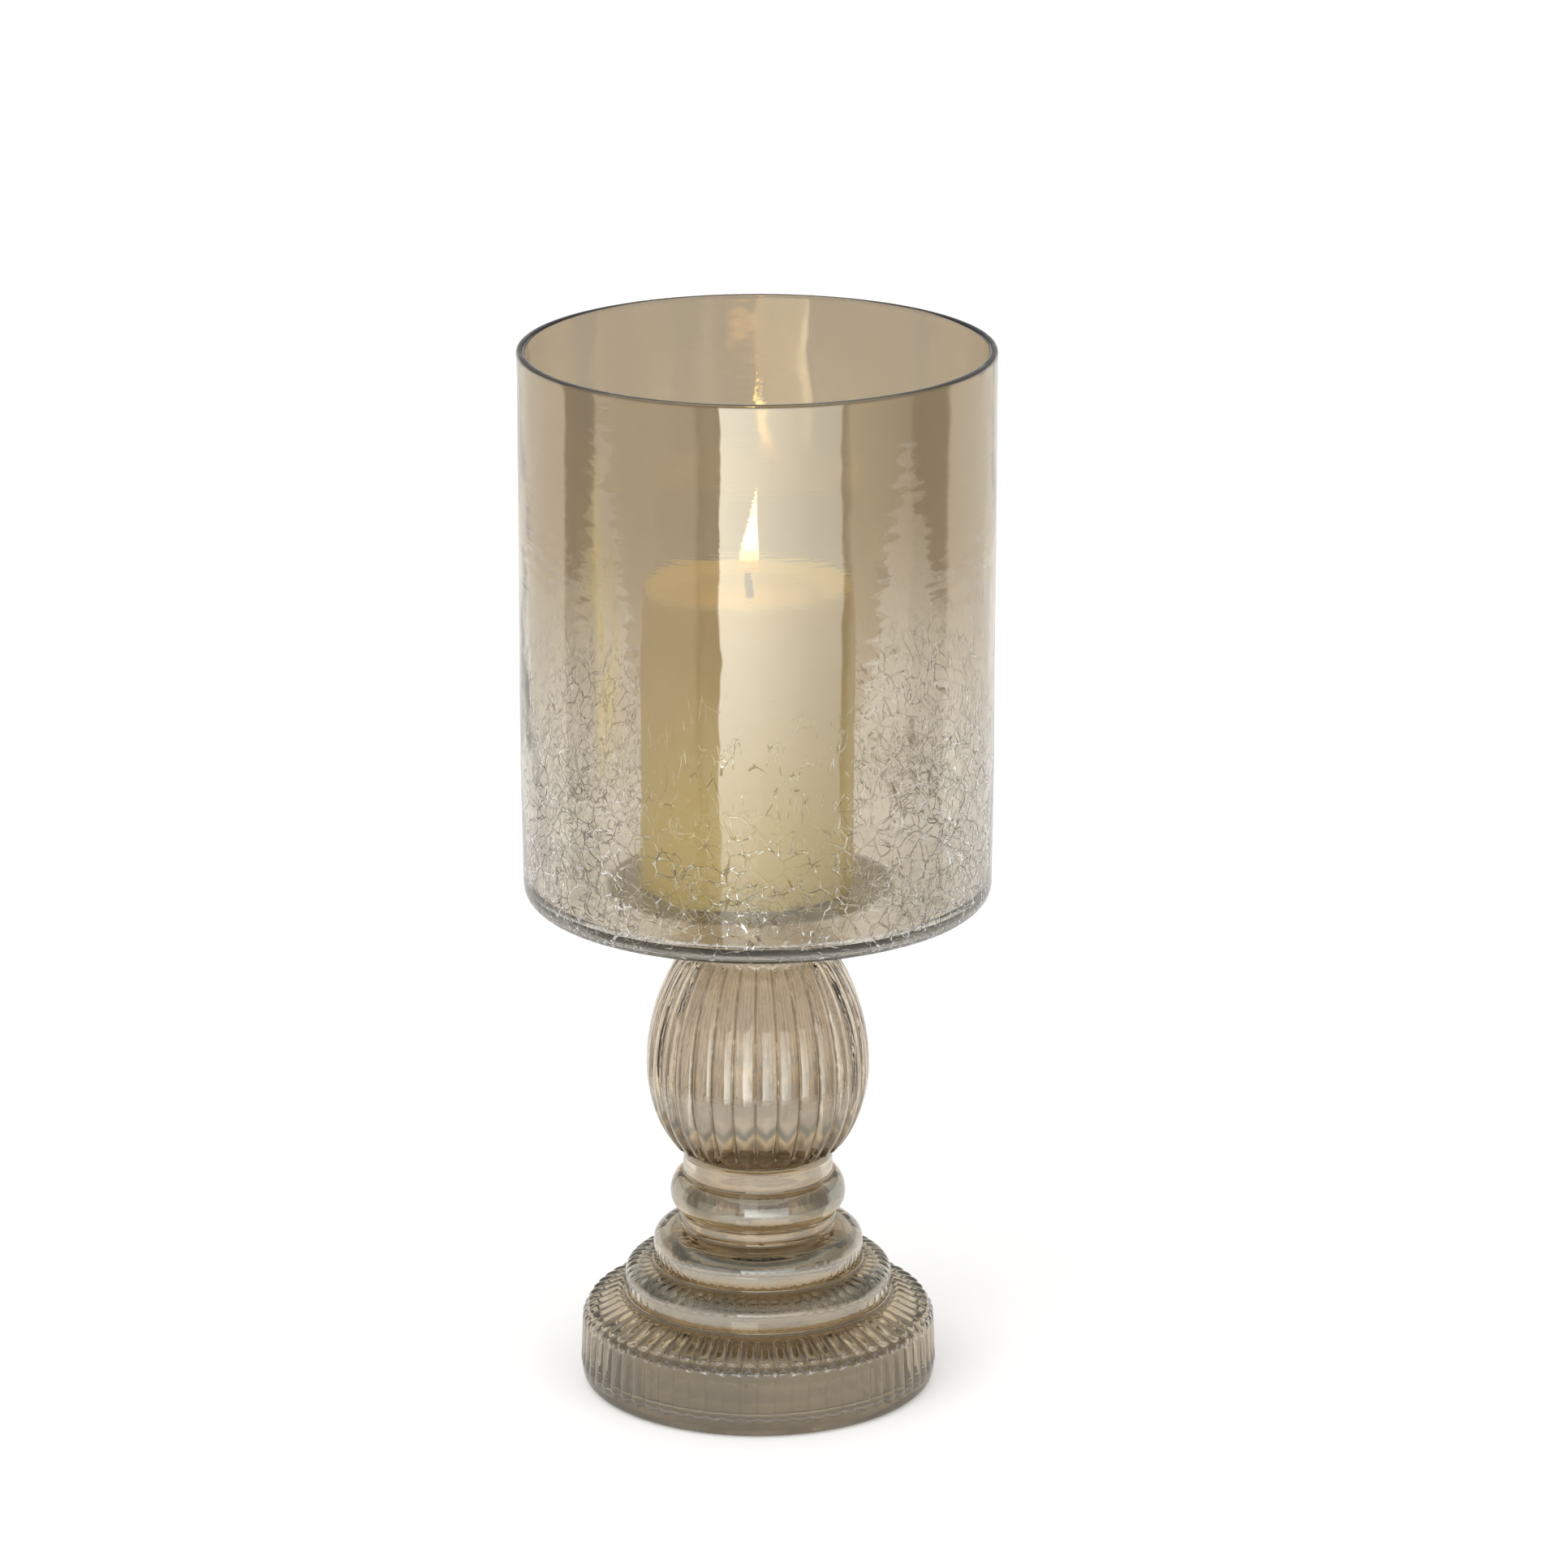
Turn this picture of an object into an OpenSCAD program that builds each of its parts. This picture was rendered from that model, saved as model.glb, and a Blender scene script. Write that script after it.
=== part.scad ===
// Hurricane candle lantern.
// A crackled glass cylinder with a thick glass floor is bonded onto a hollow
// mould-blown glass pedestal, and a pillar candle stands loose inside it.
// Millimetres, +Z up. The origin is the middle of the foot's resting face.

/* [Shade] */
// Outer diameter of the glass cylinder
shade_d = 152.4; // [130:0.1:200]
// Height of the cylinder, from its underside to its rim
shade_h = 181.4; // [150:0.1:260]
// Thickness of the cylinder's wall
shade_wall = 2.8; // [2:0.1:5]
// Thickness of the cylinder's floor
shade_floor = 4.8; // [3:0.1:8]
// How much narrower the cylinder is at its floor, on the radius
shade_taper = 0.5; // [0:0.1:4]
// Height over which it narrows
shade_taper_h = 44; // [20:0.5:120]
// Rounding of the underside's outer edge
shade_edge_r = 6; // [1:0.1:7]
// Rounding of the inside, where the wall meets the floor
shade_inner_r = 4; // [0.5:0.1:8]
// Rounding of the rim's two edges
rim_edge_r = 0.9; // [0.2:0.05:1]

/* [Bond] */
// Thickness of the clear adhesive between pedestal and cylinder
bond_t = 0.3; // [0.1:0.05:1]
// How far the adhesive stays back from the mouth's edges
bond_inset = 0.8; // [0.6:0.1:1.2]

/* [Egg and neck] */
// Thickness of the pedestal's glass
glass_t = 4; // [3:0.1:5]
// Diameter of the neck under the cylinder
neck_d = 47.6; // [36:0.1:60]
// Height of the neck, from the egg to the mouth
neck_h = 17.7; // [6:0.1:40]
// Largest diameter of the egg
egg_d = 72.8; // [64:0.1:90]
// Height of the egg above its largest diameter
egg_upper_h = 39.6; // [25:0.1:60]
// Height of the egg below its largest diameter
egg_lower_h = 30; // [20:0.1:50]

/* [Collar, ring and bead] */
// Diameter of the plain collar, also between ring and bead
collar_d = 49; // [40:0.1:50]
// Height of the plain collar under the egg
collar_h = 6.7; // [2:0.1:15]
// Diameter of the ring
ring_d = 57.4; // [54:0.1:66]
// Height of the ring above its largest diameter
ring_upper_h = 6.9; // [4:0.1:12]
// Height of the ring below its largest diameter
ring_lower_h = 5.6; // [3:0.1:12]
// Gap between the ring and the bead
ring_gap = 0.4; // [0:0.1:4]
// Diameter of the bead
bead_d = 51.8; // [51:0.1:58]
// Height of the bead
bead_h = 3.4; // [2:0.1:6]
// Gap between the bead and the upper step
bead_gap = 2.1; // [0.5:0.1:6]

/* [Steps] */
// Diameter of the upper step
upper_step_d = 68.8; // [62:0.1:80]
// Height of the upper step's side
upper_step_h = 10.8; // [6:0.1:16]
// Rise of the upper step's top towards the bead
upper_step_rise = 0.9; // [0:0.1:3]
// Diameter of the lower step
lower_step_d = 87.6; // [82:0.1:100]
// Height of the lower step's side
lower_step_h = 9.2; // [6:0.1:16]
// Rise of the lower step's top towards the upper step
lower_step_rise = 1.4; // [0:0.1:3]
// Rounding of the steps' top edges
step_edge_r = 3.3; // [0.5:0.1:4]
// Rounding of the grooves between steps
groove_r = 1; // [0.2:0.1:2]

/* [Foot] */
// Diameter of the foot where it stands
foot_d = 117.4; // [104:0.1:140]
// Height of the foot's side
foot_h = 25.4; // [16:0.1:40]
// How much narrower the side is at its top, on the radius
foot_draft = 1.1; // [0:0.1:3]
// Rise of the foot's shoulder towards the lower step
shoulder_rise = 5.2; // [2:0.1:12]
// Rounding of the foot's shoulder
shoulder_r = 6.2; // [1:0.1:8]
// Rounding of the foot's lower edge
foot_edge_r = 4; // [0.5:0.1:5]
// Diameter of the hollow under the foot
punt_d = 92; // [50:0.1:94]
// Depth of the hollow under the foot
punt_h = 4; // [1:0.1:10]
// Thickness of the foot's glass bottom
foot_floor = 5; // [3:0.1:8]

/* [Candle] */
// Diameter of the pillar candle
candle_d = 69; // [40:0.1:90]
// Height of the pillar candle
candle_h = 100; // [60:0.5:140]
// How far the candle stands off the lantern's axis, to the right
candle_shift = -3; // [-15:0.1:15]
// Depth of the melted hollow in the candle's top
pool_depth = 5; // [1:0.1:10]
// Width of the wax rim around the hollow
pool_rim = 3; // [1.5:0.1:6]
// Sideways run of the hollow's slope
pool_slope = 6; // [2:0.1:10]

/* [Wick] */
// Diameter of the braided wick
wick_d = 2.6; // [1.5:0.1:4]
// Length of wick above the hollow
wick_out = 8; // [4:0.1:14]
// Diameter of the sustainer's disc
tab_d = 20; // [14:0.1:30]
// Thickness of the sustainer's sheet metal
tab_t = 0.4; // [0.2:0.05:1]
// Height of the sustainer's crimped neck above the disc
crimp_h = 6; // [3:0.1:12]

/* [Hidden] */

$fn = 128;
// Points along each rounded corner, and along each half of the egg and the ring
corner_steps = 6;
curve_steps = 14;
// Clearance around the wick and the sustainer
wax_gap = 0.05;
// Sideways run of the slope at the edge of the hollow under the foot
punt_run = 6;
// Roundings of that slope's upper and lower end
punt_upper_r = 4;
punt_lower_r = 1;
// Rounding of the candle's edges
candle_edge_r = 1.2;
// Rounding of the mouth that the bond lies on
mouth_r = 0.6;

// Levels, from the table up
lower_step_z = foot_h + shoulder_rise;
lower_top_z = lower_step_z + lower_step_h;
upper_step_z = lower_top_z + lower_step_rise;
upper_top_z = upper_step_z + upper_step_h;
waist_z = upper_top_z + upper_step_rise;
bead_z = waist_z + bead_gap;
ring_z = bead_z + bead_h + ring_gap + ring_lower_h;
collar_z = ring_z + ring_upper_h;
belly_z = collar_z + collar_h + egg_lower_h;
neck_z = belly_z + egg_upper_h;
mouth_z = neck_z + neck_h;
shade_z = mouth_z + bond_t;
seat_z = shade_z + shade_floor;
rim_z = shade_z + shade_h;
candle_top_z = seat_z + candle_h;
pool_z = candle_top_z - pool_depth;

// Radii that more than one piece or level uses
shade_r = shade_d / 2;
foot_r = foot_d / 2;
lower_r = lower_step_d / 2;
upper_r = upper_step_d / 2;
collar_r = collar_d / 2;
neck_r = neck_d / 2;
egg_r = egg_d / 2;
wick_bore_r = wick_d / 2 + wax_gap;
crimp_r = wick_bore_r + tab_t;

// The unit vector along v
function unit(v) = v / norm(v);

// The arc that rounds corner b between a and c, no longer than half of either side
function corner(a, b, c, r) =
    let (u = unit(a - b), v = unit(c - b), half = acos(max(-1, min(1, u * v))) / 2)
    r <= 0 || half > 89.9 ? [b] :
    let (
        reach = min(r / tan(half), norm(a - b) / 2, norm(c - b) / 2),
        arc_r = reach * tan(half),
        centre = b + unit(u + v) * arc_r / sin(half),
        from = b + u * reach - centre,
        to = b + v * reach - centre,
        first = atan2(from[1], from[0]),
        turn = (atan2(to[1], to[0]) - first + 540) % 360 - 180
    )
    [for (i = [0:corner_steps])
        let (angle = first + turn * i / corner_steps)
        centre + arc_r * [cos(angle), sin(angle)]];

// A path of [radius, height, rounding] corners with its roundings put in
function rounded(path) =
    let (last = len(path) - 1, at = function (i) [path[i][0], path[i][1]])
    [for (i = [0:last])
        each (i == 0 || i == last ? [at(i)] : corner(at(i - 1), at(i), at(i + 1), path[i][2]))];

// An elliptic curve on a body of radius base, from radius widest at height mid to radius end at mid + rise
function swell(base, widest, end, mid, rise) =
    let (end_angle = acos((end - base) / (widest - base)))
    [for (i = [0:curve_steps])
        let (angle = end_angle * i / curve_steps)
        [base + (widest - base) * cos(angle), mid + rise * sin(angle) / sin(end_angle), 0]];

function reversed(list) = [for (i = [len(list) - 1:-1:0]) list[i]];

// A lower and an upper swell that meet at their widest, from the bottom up
function bulge(lower, upper) = concat(reversed(lower), [for (i = [1:curve_steps]) upper[i]]);

// The ring and the egg, with their glass surface moved inwards by inset
function ring(inset) =
    let (widest = ring_d / 2 - inset, waist = collar_r - inset)
    bulge(
        swell(waist, widest, waist, ring_z, -ring_lower_h),
        swell(waist, widest, waist, ring_z, ring_upper_h)
    );
function egg(inset) =
    bulge(
        swell(0, egg_r - inset, collar_r - inset, belly_z, -egg_lower_h),
        swell(0, egg_r - inset, neck_r - inset, belly_z, egg_upper_h)
    );

// The pedestal's outside, from the hollow under the foot up to the mouth
outside = concat(
    [
        [0, punt_h, 0],
        [punt_d / 2 - punt_run, punt_h, punt_upper_r],
        [punt_d / 2, 0, punt_lower_r],
        [foot_r, 0, foot_edge_r],
        [foot_r - foot_draft, foot_h, shoulder_r],
        [lower_r, lower_step_z, groove_r],
        [lower_r, lower_top_z, step_edge_r],
        [upper_r, upper_step_z, groove_r],
        [upper_r, upper_top_z, step_edge_r],
        [collar_r, waist_z, groove_r],
        [collar_r, bead_z, 0],
        [bead_d / 2, bead_z, bead_h / 2],
        [bead_d / 2, bead_z + bead_h, bead_h / 2],
        [collar_r, bead_z + bead_h, 0],
    ],
    ring(0),
    egg(0),
    [
        [neck_r, mouth_z, mouth_r],
        [neck_r - glass_t, mouth_z, 0],
    ]
);

// The pedestal's inside, from its glass bottom up to the mouth
inside = concat(
    [
        [0, punt_h + foot_floor, 0],
        [punt_d / 2 - punt_run, punt_h + foot_floor, punt_upper_r],
        [punt_d / 2, foot_floor, punt_lower_r],
        [foot_r - glass_t, foot_floor, foot_edge_r],
        [foot_r - foot_draft - glass_t, foot_h - glass_t, shoulder_r],
        [lower_r - glass_t, lower_step_z - glass_t, glass_t],
        [lower_r - glass_t, lower_top_z - glass_t, step_edge_r],
        [upper_r - glass_t, upper_step_z - glass_t, glass_t],
        [upper_r - glass_t, upper_top_z - glass_t, step_edge_r],
        [collar_r - glass_t, waist_z - glass_t, glass_t],
    ],
    ring(glass_t),
    egg(glass_t),
    [[neck_r - glass_t, mouth_z, 0]]
);

// The crackled cylinder with its floor, one piece of glass
module shade() {
    taper_z = shade_z + shade_taper_h;
    inner_r = shade_r - shade_wall;
    color([0.80, 0.75, 0.66, 0.45])
        rotate_extrude()
            polygon(rounded([
                [0, shade_z, 0],
                [shade_r - shade_taper, shade_z, shade_edge_r],
                [shade_r, taper_z, shade_taper_h],
                [shade_r, rim_z, rim_edge_r],
                [inner_r, rim_z, rim_edge_r],
                [inner_r, taper_z, shade_taper_h],
                [inner_r - shade_taper, seat_z, shade_inner_r],
                [0, seat_z, 0],
            ]));
}

// The clear adhesive on the pedestal's mouth
module bond_ring() {
    color([0.92, 0.92, 0.88, 0.6])
        translate([0, 0, mouth_z])
            difference() {
                cylinder(h = bond_t, r = neck_r - bond_inset);
                translate([0, 0, -bond_t])
                    cylinder(h = 3 * bond_t, r = neck_r - glass_t + bond_inset);
            }
}

// The hollow pedestal: foot, two steps, bead, ring, collar, egg and neck
module pedestal() {
    color([0.66, 0.58, 0.49, 0.8])
        rotate_extrude()
            polygon(concat(rounded(outside), reversed(rounded(inside))));
}

// The pillar of wax, with its wick bore and the pocket for the sustainer
module candle() {
    pocket_r = tab_d / 2 + wax_gap;
    neck_pocket_r = crimp_r + wax_gap;
    neck_pocket_z = seat_z + tab_t + crimp_h + wax_gap;
    disc_pocket_z = seat_z + tab_t + wax_gap;
    color([0.93, 0.88, 0.72])
        translate([candle_shift, 0, 0])
            rotate_extrude()
                polygon(rounded([
                    [pocket_r, seat_z, 0],
                    [candle_d / 2, seat_z, candle_edge_r],
                    [candle_d / 2, candle_top_z, candle_edge_r],
                    [candle_d / 2 - pool_rim, candle_top_z, candle_edge_r],
                    [candle_d / 2 - pool_rim - pool_slope, pool_z, pool_slope],
                    [wick_bore_r, pool_z, 0],
                    [wick_bore_r, neck_pocket_z, 0],
                    [neck_pocket_r, neck_pocket_z, 0],
                    [neck_pocket_r, disc_pocket_z, 0],
                    [pocket_r, disc_pocket_z, 0],
                ]));
}

// The wick, from the candle's base to above the melted hollow
module wick() {
    color([0.22, 0.19, 0.16])
        translate([candle_shift, 0, seat_z])
            cylinder(h = candle_h - pool_depth + wick_out, r = wick_d / 2);
}

// The tin disc and crimped neck that hold the wick's lower end
module wick_sustainer() {
    color([0.75, 0.75, 0.76])
        translate([candle_shift, 0, seat_z])
            difference() {
                union() {
                    cylinder(h = tab_t, r = tab_d / 2);
                    cylinder(h = tab_t + crimp_h, r = crimp_r);
                }
                translate([0, 0, -tab_t])
                    cylinder(h = 3 * tab_t + crimp_h, r = wick_bore_r);
            }
}

shade();
bond_ring();
pedestal();
candle();
wick();
wick_sustainer();
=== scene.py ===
"""The looks of a hurricane candle lantern: a crackled lustre glass cylinder on a fluted glass
pedestal, with a burning pillar candle inside. Metres, +Z up, and the front faces -Y."""

import math

import bpy
import numpy as np
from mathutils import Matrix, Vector


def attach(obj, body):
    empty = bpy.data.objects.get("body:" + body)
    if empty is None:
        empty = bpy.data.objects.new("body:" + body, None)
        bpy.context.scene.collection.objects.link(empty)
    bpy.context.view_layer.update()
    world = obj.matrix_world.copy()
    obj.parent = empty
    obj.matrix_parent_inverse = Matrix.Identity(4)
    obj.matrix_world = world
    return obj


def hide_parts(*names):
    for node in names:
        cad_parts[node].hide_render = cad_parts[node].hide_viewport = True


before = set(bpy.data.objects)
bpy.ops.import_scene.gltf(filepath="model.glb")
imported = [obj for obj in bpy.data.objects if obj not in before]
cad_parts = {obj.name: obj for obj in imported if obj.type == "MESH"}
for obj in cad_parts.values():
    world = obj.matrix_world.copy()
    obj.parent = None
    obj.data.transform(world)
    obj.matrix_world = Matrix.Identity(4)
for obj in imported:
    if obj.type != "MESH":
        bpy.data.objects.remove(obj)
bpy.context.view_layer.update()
MM = 0.001

# ---- Camera ----
IMAGE_SIZE = 1932
FOCAL_PIXELS = 8647.1
SENSOR_MM = 36
CAMERA_PLACE = (0.0085, -2.1576, 0.8650)
CAMERA_PITCH = 0.2977

# ---- Glass cylinder, in millimetres ----
SHADE_R = 76.2
SHADE_WALL = 2.8
SHADE_BOTTOM = 165.6
SHADE_SEAT = 170.4
SHADE_RIM = 347.0
SHADE_TAPER = 0.5
SHADE_TAPER_H = 44
SHADE_EDGE_R = 6
SHADE_INNER_R = 4
RIM_EDGE_R = 0.9
SHADE_WAVE = 0.26
SHADE_RIPPLE = 0.035
SMOKE_FADES_Z = 190
SMOKE_FULL_Z = 282
CRACKLE_TOP_Z = 247
CRACKLE_DENSE_Z = 222
TALL_CRACKS_TOP_Z = 284
TALL_CRACKS_DENSE_Z = 246

# ---- Pedestal, in millimetres ----
GLASS_T = 4
PUNT_R = 40
PUNT_H = 4
FOOT_RING_R = 46
FOOT_R = 58.7
FOOT_TAPER = 1.1
FOOT_H = 25.4
LOWER_STEP_R = 43.8
LOWER_STEP_Z = 30.6
LOWER_TOP_Z = 39.8
UPPER_STEP_R = 34.4
UPPER_STEP_Z = 41.2
UPPER_TOP_Z = 52.0
COLLAR_R = 24.5
WAIST_Z = 52.9
BEAD_R = 25.9
BEAD_Z = 55.0
BEAD_H = 3.4
RING_R = 28.7
RING_Z = 64.4
RING_LOWER_H = 5.6
RING_UPPER_H = 6.9
EGG_R = 36.4
EGG_Z = 108.0
EGG_LOWER_H = 30.0
EGG_UPPER_H = 39.6
NECK_R = 23.8
MOUTH_Z = 165.3
FOOT_RIBS = 64
FLUTES = 30
FLUTE_TURN = 0.02
SEAM_TURN = 0.05
FOOT_RIB_DEPTH = 0.55
SHOULDER_RIB_DEPTH = 1.15
LOWER_RISER_DEPTH = 0.16
UPPER_RISER_DEPTH = 0.14
TREAD_NOTCH_DEPTH = 0.42
FLUTE_DEPTH = 0.95
SEAM_HEIGHT = 0.30
PEDESTAL_WAVE = 0.10
INSIDE_WAVE = 0.25

# ---- Candle, in millimetres ----
CANDLE_X = -3
CANDLE_R = 34.5
CANDLE_TOP = 270.4
POOL_Z = 265.4
WICK_R = 1.22
WICK_TOP = 273.4
WICK_BEND = 0.9
FLAME_BASE = WICK_TOP - 2.6
FLAME_H = 31.0
FLAME_R = 3.2
FLAME_WIDEST_AT = 0.27  # as a share of its height
FLAME_LEAN = 2.9

# ---- Relief is held this far inside the outer size, in millimetres ----
SLACK = 0.10

# ---- Floor, in metres ----
FLOOR_REACH = 12.0
FLOOR_SINK = 0.0002


def add_camera():
    data = bpy.data.cameras.new("camera")
    data.sensor_width = SENSOR_MM
    data.lens = FOCAL_PIXELS / IMAGE_SIZE * SENSOR_MM
    camera = bpy.data.objects.new("camera", data)
    camera.location = CAMERA_PLACE
    camera.rotation_euler = (math.pi / 2 - CAMERA_PITCH, 0, 0)
    bpy.context.collection.objects.link(camera)
    bpy.context.scene.camera = camera


# ---------------------------------------------------------------- node maths

class Value:
    """A socket on its way through a material. Python's operators add Math nodes to it."""

    def __init__(self, finish, socket):
        self.finish = finish
        self.socket = socket

    def maths(self, operation, first, second=0.0):
        return self.finish.add("ShaderNodeMath", {"operation": operation}, {0: first, 1: second})

    def __add__(self, other):
        return self.maths("ADD", self, other)

    def __radd__(self, other):
        return self.maths("ADD", other, self)

    def __sub__(self, other):
        return self.maths("SUBTRACT", self, other)

    def __rsub__(self, other):
        return self.maths("SUBTRACT", other, self)

    def __mul__(self, other):
        return self.maths("MULTIPLY", self, other)

    def __rmul__(self, other):
        return self.maths("MULTIPLY", other, self)

    def __truediv__(self, other):
        return self.maths("DIVIDE", self, other)

    def __pow__(self, other):
        return self.maths("POWER", self, other)

    def above(self, limit):
        return self.maths("GREATER_THAN", self, limit)

    def size(self):
        return self.maths("ABSOLUTE", self)

    def largest(self, other):
        return self.maths("MAXIMUM", self, other)

    def ramp(self, low, high):
        """0 at low, 1 at high, and smooth between. low may be the higher of the two."""
        rising = low < high
        limits = {0: self, 1: min(low, high), 2: max(low, high), 3: 1 - rising, 4: rising}
        return self.finish.add("ShaderNodeMapRange", {"interpolation_type": "SMOOTHSTEP"}, limits)


class Finish:
    """The nodes of one material, or of the world."""

    def __init__(self, owner):
        self.owner = owner
        owner.use_nodes = True
        self.tree = owner.node_tree
        self.tree.nodes.clear()

    def add(self, kind, settings=None, inputs=None, out=0):
        """Adds a node, sets it up, fills its sockets, and gives back one of its outputs."""
        node = self.tree.nodes.new(kind)
        for name, value in (settings or {}).items():
            if name == "stops":
                self.set_stops(node.color_ramp, value)
            else:
                setattr(node, name, value)
        for name, value in (inputs or {}).items():
            if isinstance(value, Value):
                self.tree.links.new(value.socket, node.inputs[name])
            else:
                node.inputs[name].default_value = value
        return Value(self, node.outputs[out]) if node.outputs else None

    @staticmethod
    def set_stops(ramp, stops):
        while len(ramp.elements) < len(stops):
            ramp.elements.new(0.5)
        for element, (position, colour) in zip(ramp.elements, stops):
            element.position = position
            element.color = colour

    def place(self):
        """The point on the surface in the part's own frame, in metres."""
        return self.add("ShaderNodeTexCoord", out="Object")

    def axes(self, vector):
        split = {"Vector": vector}
        return [self.add("ShaderNodeSeparateXYZ", None, split, axis) for axis in "XYZ"]

    def stretched(self, vector, scale):
        return self.add("ShaderNodeVectorMath", {"operation": "MULTIPLY"}, {0: vector, 1: scale})

    def noise(self, vector, scale, detail=2.0, out="Fac"):
        inputs = {"Vector": vector, "Scale": scale, "Detail": detail}
        return self.add("ShaderNodeTexNoise", None, inputs, out)

    def cell_edge(self, vector, scale):
        """The distance to the nearest edge between the cells of a crazed surface."""
        settings = {"feature": "DISTANCE_TO_EDGE"}
        inputs = {"Vector": vector, "Scale": scale}
        return self.add("ShaderNodeTexVoronoi", settings, inputs, "Distance")

    def groove(self, x, y, count, turn=0.0):
        """1 in the grooves between count ribs round the axis, and 0 on their crests."""
        across = (x.maths("ARCTAN2", x, y * -1) + turn) * (count / (2 * math.pi))
        return (across.maths("FRACT", across) * 2 - 1).size()

    def blend(self, factor, first, second):
        """The first colour where factor is 0 and the second where it is 1."""
        inputs = {0: factor, 6: first, 7: second}
        return self.add("ShaderNodeMix", {"data_type": "RGBA"}, inputs, 2)

    def stops(self, value, *stops):
        """A colour ramp over value, from (position, colour) stops."""
        return self.add("ShaderNodeValToRGB", {"stops": stops}, {0: value})

    def light_path(self, out):
        return self.add("ShaderNodeLightPath", out=out)

    def bump(self, height, distance, strength):
        inputs = {"Height": height, "Distance": distance, "Strength": strength}
        return self.add("ShaderNodeBump", None, inputs)

    def coated(self, **inputs):
        """The main shader, with its sockets given by their names in lower case."""
        sockets = {name.replace("_", " ").title().replace("Ior", "IOR"): value
                   for name, value in inputs.items()}
        return self.add("ShaderNodeBsdfPrincipled", None, sockets)

    def letting_light_through(self, shader, tint):
        """Lamps shine through the glass, tinted, where only shadow rays meet it."""
        shadow = self.light_path("Is Shadow Ray")
        clear = self.add("ShaderNodeBsdfTransparent", None, {"Color": tint})
        return self.add("ShaderNodeMixShader", None, {0: shadow, 1: shader, 2: clear})

    def output(self, shader, kind="ShaderNodeOutputMaterial"):
        self.add(kind, None, {0: shader})
        return self.owner


def finish(name):
    return Finish(bpy.data.materials.new(name))


def rgb(red, green, blue):
    return (red, green, blue, 1.0)


# ---------------------------------------------------------------- turned shapes

def unit(vector):
    return vector / np.linalg.norm(vector)


def corner(before, at, after, radius, steps=6):
    """The arc that rounds one corner, no longer than half of either side."""
    u = unit(before - at)
    v = unit(after - at)
    half = math.acos(max(-1.0, min(1.0, float(u @ v)))) / 2
    if radius <= 0 or half > math.radians(89.9):
        return [at]
    sides = (np.linalg.norm(before - at) / 2, np.linalg.norm(after - at) / 2)
    reach = min(radius / math.tan(half), *sides)
    arc_r = reach * math.tan(half)
    centre = at + unit(u + v) * arc_r / math.sin(half)
    start = at + u * reach - centre
    end = at + v * reach - centre
    first = math.atan2(start[1], start[0])
    turn = (math.atan2(end[1], end[0]) - first + 3 * math.pi) % (2 * math.pi) - math.pi
    angles = [first + turn * i / steps for i in range(steps + 1)]
    return [centre + arc_r * np.array((math.cos(a), math.sin(a))) for a in angles]


def rounded(path):
    """A path of (radius, height, rounding) corners in millimetres, with its roundings put in."""
    points = [np.array(p[:2], float) for p in path]
    out = [points[0]]
    for i in range(1, len(path) - 1):
        out += corner(points[i - 1], points[i], points[i + 1], path[i][2])
    return out + [points[-1]]


def swell(base, widest, end, mid, rise, steps=14):
    """An elliptic curve from radius widest at height mid to radius end at mid + rise."""
    end_angle = math.acos((end - base) / (widest - base))
    angles = [end_angle * i / steps for i in range(steps + 1)]
    return [(base + (widest - base) * math.cos(a),
             mid + rise * math.sin(a) / math.sin(end_angle), 0) for a in angles]


def bulge(base, widest, below, above, mid, lower_h, upper_h):
    """A lower and an upper swell that meet at their widest, from the bottom up."""
    lower = swell(base, widest, below, mid, -lower_h)
    return lower[::-1] + swell(base, widest, above, mid, upper_h)[1:]


def densified(path, step):
    """The same path with a point at least every step millimetres."""
    out = [path[0]]
    for before, after in zip(path, path[1:]):
        parts = max(1, math.ceil(np.linalg.norm(after - before) / step))
        out += [before + (after - before) * i / parts for i in range(1, parts + 1)]
    return np.array(out)


def outward(path):
    """The normals of a path that runs with its solid on the left."""
    before = np.vstack([path[:1], path[:-1]])
    after = np.vstack([path[1:], path[-1:]])
    along = after - before
    normals = np.stack([along[:, 1], -along[:, 0]], axis=1)
    return normals / np.maximum(np.linalg.norm(normals, axis=1, keepdims=True), 1e-9)


def smooth(value, low, high):
    t = np.clip((value - low) / (high - low), 0, 1)
    return t * t * (3 - 2 * t)


def new_piece(name, points, faces):
    """A smooth mesh from points in millimetres, as an object in the scene."""
    mesh = bpy.data.meshes.new(name)
    mesh.from_pydata((np.array(points) * MM).tolist(), [], faces)
    mesh.validate()
    mesh.shade_smooth()
    piece = bpy.data.objects.new(name, mesh)
    bpy.context.collection.objects.link(piece)
    return piece


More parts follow.
